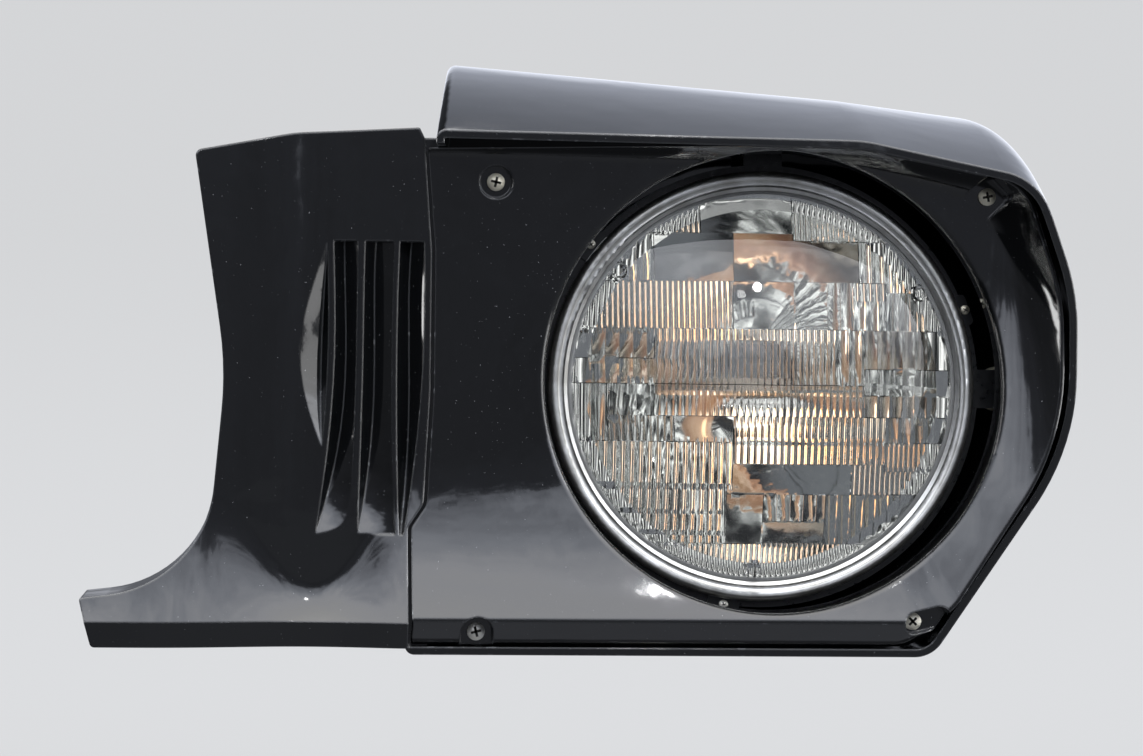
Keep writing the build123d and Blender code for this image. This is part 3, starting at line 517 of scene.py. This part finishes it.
def pressed_lens():
    """The lamp's glass: a smooth cap with three nubs, and flutes and prisms pressed into its inside."""
    inner_r = LENS_FACE_R - LENS_WALL
    scale = LENS_FACE_R / inner_r
    back = LENS_BACK_Y / MM
    shoulder = LENS_CROWN_Y / MM + LENS_BULGE
    step_r = LENS_FACE_R + RIM_STEP
    step_y = shoulder + RIM_STEP
    flange_r = LENS_FLANGE_R / MM

    def inner_y(x, z):
        r = math.hypot(x, z)
        fade = min(1.0, max(0.0, (inner_r - r) / PATTERN_FADE))
        return back - cap_rise(r, inner_r, LENS_INNER_BULGE) + pattern(x, z) * fade

    def outer_y(x, z):
        return shoulder - cap_rise(math.hypot(x, z), LENS_FACE_R, LENS_BULGE) - nub(x, z)

    mesh = bmesh.new()
    rows = lens_rows(inner_r)
    inner = disc_grid(mesh, rows, inner_r, fluted_columns(inner_r), inner_y)
    outer = disc_grid(mesh, [z * scale for z in rows], LENS_FACE_R, face_columns(), outer_y)
    skin(mesh, inner, flip=True)
    skin(mesh, outer, flip=False)
    inner_rim = rim_loop(inner)
    outer_rim = rim_loop(outer)
    rims = [outer_rim]
    for radius, y in [(step_r, step_y), (flange_r, step_y), (flange_r, back)]:
        ring = []
        for vert in outer_rim:
            angle = math.atan2(vert.co.z, vert.co.x)
            at = (radius * math.cos(angle) * MM, y * MM, radius * math.sin(angle) * MM)
            ring.append(mesh.verts.new(at))
        rims.append(ring)
    rims.append(inner_rim)
    for a, b in zip(rims, rims[1:]):
        for i in range(len(a)):
            j = (i + 1) % len(a)
            mesh.faces.new((a[i], b[i], b[j], a[j]))
    bmesh.ops.recalc_face_normals(mesh, faces=mesh.faces)
    return finished("pressed_lens", mesh, glass)


lens = pressed_lens()
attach(lens, "lamp")
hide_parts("lens")


def new_tree(name, inputs, makes):
    """An empty Geometry Nodes tree with its named inputs and output. Returns it and its inputs' values."""
    tree = bpy.data.node_groups.new(name, "GeometryNodeTree")
    for label, kind in inputs.items():
        tree.interface.new_socket(name=label, in_out="INPUT", socket_type="NodeSocket" + kind)
    tree.interface.new_socket(name=makes, in_out="OUTPUT", socket_type="NodeSocketGeometry")
    return tree, node(tree, "NodeGroupInput").outputs


def set_on_seats(tree, given, shape, makes, turn=(0.0, 0.0, 0.0)):
    """Ends a tree: its shape stands on each seat, turned, made real and given its finish."""
    placed = node(tree, "GeometryNodeInstanceOnPoints", {
        "Points": given["Seats"], "Instance": shape, "Rotation": turn})
    real = node(tree, "GeometryNodeRealizeInstances", {"Geometry": placed.outputs[0]})
    done = node(tree, "GeometryNodeSetMaterial", {"Geometry": real.outputs[0], "Material": given["Finish"]})
    node(tree, "NodeGroupOutput", {makes: done.outputs[0]})


# A screw's shape, in shares of its own sizes
DOME_FALL = 0.42                     # how far its dome has fallen at the head's edge
CROSS_ARM = (1.16, 0.28, 1.6)        # an arm's length and width by the radius, its depth by the height
SHANK_DROP = -0.49                   # the shank's middle, high enough for it to enter the head


def screw_tree():
    """Crosshead screws, one on each seat: a low dome with a cross sunk in it, on a plain shank."""
    tree, given = new_tree("crosshead_screws", {
        "Seats": "Geometry", "Head Radius": "Float", "Head Height": "Float", "Shank Radius": "Float",
        "Shank Length": "Float", "Seed": "Int", "Finish": "Material"}, "Screws")
    blank = node(tree, "GeometryNodeMeshCylinder", {
        "Vertices": 32, "Side Segments": 1, "Fill Segments": 6,
        "Radius": given["Head Radius"], "Depth": given["Head Height"]}, fill_type="TRIANGLE_FAN")
    point = node(tree, "ShaderNodeSeparateXYZ", {0: node(tree, "GeometryNodeInputPosition").outputs[0]})
    across = node(tree, "ShaderNodeCombineXYZ", {0: point.outputs[0], 1: point.outputs[1]})
    reach = node(tree, "ShaderNodeVectorMath", {0: across.outputs[0]}, operation="LENGTH")
    share = node(tree, "ShaderNodeMath", {
        0: reach.outputs["Value"], 1: given["Head Radius"]}, operation="DIVIDE").outputs[0]
    squared = node(tree, "ShaderNodeMath", {0: share, 1: share}, operation="MULTIPLY")
    dome = node(tree, "ShaderNodeMath", {
        0: squared.outputs[0], 1: -DOME_FALL, 2: 1.0}, operation="MULTIPLY_ADD")
    lift = node(tree, "ShaderNodeMath", {
        0: given["Head Height"], 1: 0.5, 2: point.outputs[2]}, operation="MULTIPLY_ADD")
    height = node(tree, "ShaderNodeMath", {0: lift.outputs[0], 1: dome.outputs[0]}, operation="MULTIPLY")
    domed = node(tree, "ShaderNodeCombineXYZ", {
        0: point.outputs[0], 1: point.outputs[1], 2: height.outputs[0]})
    head = node(tree, "GeometryNodeSetPosition", {
        "Geometry": blank.outputs["Mesh"], "Position": domed.outputs[0]})
    shank = node(tree, "GeometryNodeMeshCylinder", {
        "Vertices": 20, "Radius": given["Shank Radius"], "Depth": given["Shank Length"]})
    drop = node(tree, "ShaderNodeMath", {0: given["Shank Length"], 1: SHANK_DROP}, operation="MULTIPLY")
    down = node(tree, "ShaderNodeCombineXYZ", {2: drop.outputs[0]})
    hung = node(tree, "GeometryNodeTransform", {
        "Geometry": shank.outputs["Mesh"], "Translation": down.outputs[0]})
    whole = node(tree, "GeometryNodeMeshBoolean", operation="UNION")
    tree.links.new(head.outputs[0], whole.inputs["Mesh 2"])
    tree.links.new(hung.outputs[0], whole.inputs["Mesh 2"])
    gauge = node(tree, "ShaderNodeCombineXYZ", {
        0: given["Head Radius"], 1: given["Head Radius"], 2: given["Head Height"]})
    arm = node(tree, "ShaderNodeVectorMath", {0: gauge.outputs[0], 1: CROSS_ARM}, operation="MULTIPLY")
    top = node(tree, "ShaderNodeCombineXYZ", {2: given["Head Height"]})
    sunk = node(tree, "GeometryNodeMeshBoolean", {"Mesh 1": whole.outputs["Mesh"]}, operation="DIFFERENCE")
    for turn in (0.0, math.pi / 2):
        bar = node(tree, "GeometryNodeMeshCube", {"Size": arm.outputs[0]})
        set_in = node(tree, "GeometryNodeTransform", {
            "Geometry": bar.outputs["Mesh"], "Translation": top.outputs[0], "Rotation": (0.0, 0.0, turn)})
        tree.links.new(set_in.outputs[0], sunk.inputs["Mesh 2"])
    facing = node(tree, "GeometryNodeTransform", {
        "Geometry": sunk.outputs["Mesh"], "Rotation": (math.pi / 2, 0.0, 0.0)})
    turned = node(tree, "FunctionNodeRandomValue", {
        "Min": (0.0, 0.0, 0.0), "Max": (0.0, math.pi, 0.0), "Seed": given["Seed"]}, data_type="FLOAT_VECTOR")
    set_on_seats(tree, given, facing.outputs[0], "Screws", turned.outputs["Value"])
    return tree


def grown_from(tree, name, points, values, sharp_degrees=SHARP_DEGREES):
    """The mesh that a node tree makes on some points, as a plain object at the origin."""
    data = bpy.data.meshes.new(name)
    data.from_pydata(points, [], [])
    made = bpy.data.objects.new(name, data)
    bpy.context.scene.collection.objects.link(made)
    grower = made.modifiers.new("grown", "NODES")
    grower.node_group = tree
    for item in tree.interface.items_tree:
        if item.name in values:
            grower[item.identifier] = values[item.name]
    depsgraph = bpy.context.evaluated_depsgraph_get()
    mesh = bpy.data.meshes.new_from_object(made.evaluated_get(depsgraph), depsgraph=depsgraph)
    made.modifiers.clear()
    made.data = mesh
    mesh.shade_smooth()
    mesh.set_sharp_from_angle(angle=math.radians(sharp_degrees))
    return made


def separate_boxes(name, apart):
    """The lowest and highest corners of each of a node's solids, whose middles are that far apart."""
    boxes = []
    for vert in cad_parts[name].data.vertices:
        at = vert.co
        for low, high in boxes:
            if abs(at.x - (low.x + high.x) / 2) < apart and abs(at.z - (low.z + high.z) / 2) < apart:
                low[:] = [min(a, b) for a, b in zip(low, at)]
                high[:] = [max(a, b) for a, b in zip(high, at)]
                break
        else:
            boxes.append((at.copy(), at.copy()))
    return boxes


# Each node of screws: its body, its heads' height and its shanks' radius. Its heads' radius, its
# seats and its length come from the node.
SCREW_NODES = [
    ("door_screws", "housing", 2.5 * MM, 2.1 * MM),
    ("ring_screws", "lamp", 1.6 * MM, 0.9 * MM),
    ("bowl_screws", "housing", 1.8 * MM, 1.4 * MM),
    ("top_adjuster_screw", "top_adjuster", 2.3 * MM, 2.5 * MM),
    ("side_adjuster_screw", "lamp", 2.3 * MM, 2.5 * MM),
]
SCREWS_APART = 15 * MM
SHORTEST_SHANK = 0.2 * MM
FIRST_SEED = 11
screw_maker = screw_tree()
for order, (name, body, height, shank) in enumerate(SCREW_NODES):
    boxes = separate_boxes(name, SCREWS_APART)
    length = max(high.y - low.y for low, high in boxes) - height
    seats = [((low.x + high.x) / 2, low.y + height, (low.z + high.z) / 2) for low, high in boxes]
    screws = grown_from(screw_maker, "crosshead_" + name, seats, {
        "Head Radius": (boxes[0][1].x - boxes[0][0].x) / 2, "Head Height": height,
        "Shank Radius": shank, "Shank Length": max(length, SHORTEST_SHANK),
        "Seed": FIRST_SEED + order, "Finish": zinc})
    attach(screws, body)
    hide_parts(name)


def coil_tree():
    """Coils of round wire, one on each seat, wound along X."""
    tree, given = new_tree("wound_coil", {
        "Seats": "Geometry", "Coil Radius": "Float", "Wire Radius": "Float", "Length": "Float",
        "Turns": "Float", "Finish": "Material"}, "Coils")
    spiral = node(tree, "GeometryNodeCurveSpiral", {
        "Resolution": 12, "Rotations": given["Turns"], "Start Radius": given["Coil Radius"],
        "End Radius": given["Coil Radius"], "Height": given["Length"]})
    profile = node(tree, "GeometryNodeCurvePrimitiveCircle", {
        "Resolution": 6, "Radius": given["Wire Radius"]}, mode="RADIUS")
    wire = node(tree, "GeometryNodeCurveToMesh", {
        "Curve": spiral.outputs[0], "Profile Curve": profile.outputs[0], "Fill Caps": True})
    back = node(tree, "ShaderNodeMath", {0: given["Length"], 1: -0.5}, operation="MULTIPLY")
    middle = node(tree, "ShaderNodeCombineXYZ", {0: back.outputs[0]})
    laid = node(tree, "GeometryNodeTransform", {
        "Geometry": wire.outputs[0], "Translation": middle.outputs[0], "Rotation": (0.0, math.pi / 2, 0.0)})
    set_on_seats(tree, given, laid.outputs[0], "Coils")
    return tree


# The lamp's coil, between its two leads near the mirror's focus and a little short of both
coil = grown_from(coil_tree(), "filament_coil", [COIL_AT], {
    "Coil Radius": 0.75 * MM, "Wire Radius": 0.2 * MM, "Length": 8.0 * MM, "Turns": 12.0,
    "Finish": tungsten}, sharp_degrees=70)
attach(coil, "lamp")

# The studio's floor and backdrop, in metres: a flat stretch, a quarter round and an upright
SWEEP_FRONT = -9.0
SWEEP_BEND = 2.2
SWEEP_BEND_R = 0.6
SWEEP_FLOOR_Z = -0.42
SWEEP_TOP = 4.8
SWEEP_HALF_WIDTH = 6.0
TONES_PER_METRE = 0.46               # how fast the backdrop's reflected tones go by with height
PAPER_SHADE = 0.3                    # the share of the paper that takes the object's shadow


def sweep_floor():
    """A pale floor that curves up into a backdrop. What shines sees a sky in it, bright near its foot
    and dim on the inboard side."""
    centre_z = SWEEP_FLOOR_Z + SWEEP_BEND_R
    profile = [(SWEEP_FRONT, SWEEP_FLOOR_Z), (SWEEP_BEND, SWEEP_FLOOR_Z)]
    for turn in range(10, 91, 10):
        out = SWEEP_BEND_R * math.sin(math.radians(turn))
        up = SWEEP_BEND_R * math.cos(math.radians(turn))
        profile.append((SWEEP_BEND + out, centre_z - up))
    profile.append((SWEEP_BEND + SWEEP_BEND_R, SWEEP_TOP))
    mesh = bmesh.new()
    left, right = [[mesh.verts.new((x, y, z)) for y, z in profile]
                   for x in (-SWEEP_HALF_WIDTH, SWEEP_HALF_WIDTH)]
    for i in range(len(profile) - 1):
        mesh.faces.new((left[i], right[i], right[i + 1], left[i + 1]))
    mat, tree, place = new_material("pale_backdrop_paper")
    point = node(tree, "ShaderNodeSeparateXYZ", {0: place}).outputs
    height = node(tree, "ShaderNodeMath", {0: point["Z"], 1: TONES_PER_METRE}, operation="MULTIPLY")
    room = node(tree, "ShaderNodeValToRGB", {"Fac": height.outputs[0]}, stops=[
        (0.0, linear("#55575c")), (0.12, linear("#d0d3dc")), (0.30, linear("#b0b4be")),
        (0.60, linear("#858993"))])
    level = node(tree, "ShaderNodeMapRange", {
        "Value": point["X"], "From Min": -0.75, "From Max": -0.25, "To Min": 0.2, "To Max": 2.0})
    reflected = node(tree, "ShaderNodeEmission", {
        "Color": room.outputs["Color"], "Strength": level.outputs["Result"]})
    plain = node(tree, "ShaderNodeEmission", {"Color": linear("#e9eaeb"), "Strength": 1.0})
    paper = node(tree, "ShaderNodeBsdfDiffuse", {"Color": linear("#8f9092")})
    shaded = node(tree, "ShaderNodeMixShader", {0: PAPER_SHADE, 1: plain.outputs[0], 2: paper.outputs[0]})
    path = node(tree, "ShaderNodeLightPath")
    mix = node(tree, "ShaderNodeMixShader", {
        0: path.outputs["Is Camera Ray"], 1: reflected.outputs[0], 2: shaded.outputs[0]})
    node(tree, "ShaderNodeOutputMaterial", {"Surface": mix.outputs[0]})
    return finished("studio_sweep", mesh, mat)


# Softboxes: name, place, what each looks at, its size, how bright its face is and whether it is round
SOFTBOXES = [
    ("left_strip", (-1.6, 0.0, 0.25), (-0.1, -0.05, 0.0), (0.5, 1.1), 7.0, False),
    ("right_edge_strip", (1.4, -0.25, 0.25), (0.0, -0.05, 0.0), (0.5, 1.1), 5.0, False),
    ("right_strip", (1.4, -0.9, 0.25), (0.0, -0.05, 0.0), (0.6, 1.2), 1.8, False),
    ("high_spot", (0.2, -2.0, 1.05), (0.0, -0.05, 0.0), (0.1, 0.1), 60.0, True),
]


def softbox(name, at, aim, size, radiance, is_round):
    """An area lamp that looks at a point. Its power comes from how bright its face is."""
    light = bpy.data.lights.new(name, "AREA")
    light.shape = "ELLIPSE" if is_round else "RECTANGLE"
    light.size, light.size_y = size
    light.energy = radiance * size[0] * size[1] * math.pi * (math.pi / 4 if is_round else 1)
    lamp = bpy.data.objects.new(name, light)
    lamp.location = at
    lamp.rotation_euler = (Vector(aim) - Vector(at)).to_track_quat("-Z", "Y").to_euler()
    bpy.context.scene.collection.objects.link(lamp)


# The world: how brightly it lights, how its skyline is torn, and how high that stands inboard
SKY_STRENGTH = 3.1
CLOUD_STRENGTH = 1.75
SKYLINE_STRETCH = (6.0, 6.0, 2.5)
SKYLINE_TEAR = 0.15
WALL_RISE = 0.32


def studio_world():
    """A pale sky over a dark, ragged skyline and dark ground. The lamp's glass looks out on broken cloud."""
    world = bpy.data.worlds.new("studio_room")
    bpy.context.scene.world = world
    world.use_nodes = True
    tree = world.node_tree
    tree.nodes.clear()
    ray = node(tree, "ShaderNodeTexCoord").outputs["Generated"]
    aim = node(tree, "ShaderNodeSeparateXYZ", {0: ray}).outputs
    wall = node(tree, "ShaderNodeMapRange", {
        "Value": aim["X"], "From Min": -0.3, "From Max": -0.75, "To Min": 0.0, "To Max": -WALL_RISE})
    walled = node(tree, "ShaderNodeMath", {0: aim["Z"], 1: wall.outputs["Result"]}, operation="ADD")
    stretched = node(tree, "ShaderNodeVectorMath", {0: ray, 1: SKYLINE_STRETCH}, operation="MULTIPLY")
    ragged = node(tree, "ShaderNodeTexNoise", {
        "Vector": stretched.outputs["Vector"], "Scale": 1.5, "Detail": 12.0, "Roughness": 0.78})
    torn = node(tree, "ShaderNodeMapRange", {
        "Value": ragged.outputs["Fac"], "From Min": 0.3, "From Max": 0.7,
        "To Min": -SKYLINE_TEAR, "To Max": SKYLINE_TEAR})
    height = node(tree, "ShaderNodeMath", {0: walled.outputs[0], 1: torn.outputs["Result"]}, operation="ADD")
    share = node(tree, "ShaderNodeMapRange", {"Value": height.outputs[0], "From Min": -1.0, "From Max": 1.0})
    outdoors = node(tree, "ShaderNodeValToRGB", {"Fac": share.outputs["Result"]}, stops=[
        (0.30, linear("#2b2c2e")), (0.47, linear("#3b3c40")), (0.572, linear("#46484e")),
        (0.58, linear("#9da1ab")), (0.66, linear("#cfd4df")), (0.76, linear("#f6f8ff")),
        (1.0, linear("#ffffff"))])
    broken = node(tree, "ShaderNodeTexNoise", {"Vector": ray, "Scale": 5.0, "Detail": 5.0, "Roughness": 0.6})
    cloud = node(tree, "ShaderNodeValToRGB", {"Fac": broken.outputs["Fac"]}, stops=[
        (0.41, linear("#1b1c1d")), (0.49, linear("#646566")), (0.53, linear("#9c9d9e")),
        (0.58, linear("#ffffff"))])
    sky = node(tree, "ShaderNodeBackground", {"Color": outdoors.outputs["Color"], "Strength": SKY_STRENGTH})
    through_glass = node(tree, "ShaderNodeBackground", {
        "Color": cloud.outputs["Color"], "Strength": CLOUD_STRENGTH})
    plain = node(tree, "ShaderNodeBackground", {"Color": linear("#e6e7e8"), "Strength": 1.0})
    path = node(tree, "ShaderNodeLightPath")
    lit = node(tree, "ShaderNodeMixShader", {
        0: path.outputs["Is Transmission Ray"], 1: sky.outputs[0], 2: through_glass.outputs[0]})
    seen = node(tree, "ShaderNodeMixShader", {
        0: path.outputs["Is Camera Ray"], 1: lit.outputs[0], 2: plain.outputs[0]})
    node(tree, "ShaderNodeOutputWorld", {"Surface": seen.outputs[0]})


def photo_camera():
    """The camera that was fitted to the photograph."""
    data = bpy.data.cameras.new("photo_camera")
    data.sensor_width = SENSOR_WIDTH
    data.lens = FOCAL_PX / PHOTO_WIDTH_PX * SENSOR_WIDTH
    camera = bpy.data.objects.new("photo_camera", data)
    upright = Matrix.Rotation(math.pi / 2, 4, "X")
    yaw = Matrix.Rotation(-CAMERA_YAW, 4, "Z")
    roll = Matrix.Rotation(CAMERA_ROLL, 4, "Z")
    camera.matrix_world = Matrix.Translation(CAMERA_AT) @ yaw @ upright @ roll
    bpy.context.scene.collection.objects.link(camera)
    bpy.context.scene.camera = camera


sweep_floor()
for row in SOFTBOXES:
    softbox(*row)
studio_world()
photo_camera()
bpy.context.scene.view_settings.view_transform = "Standard"
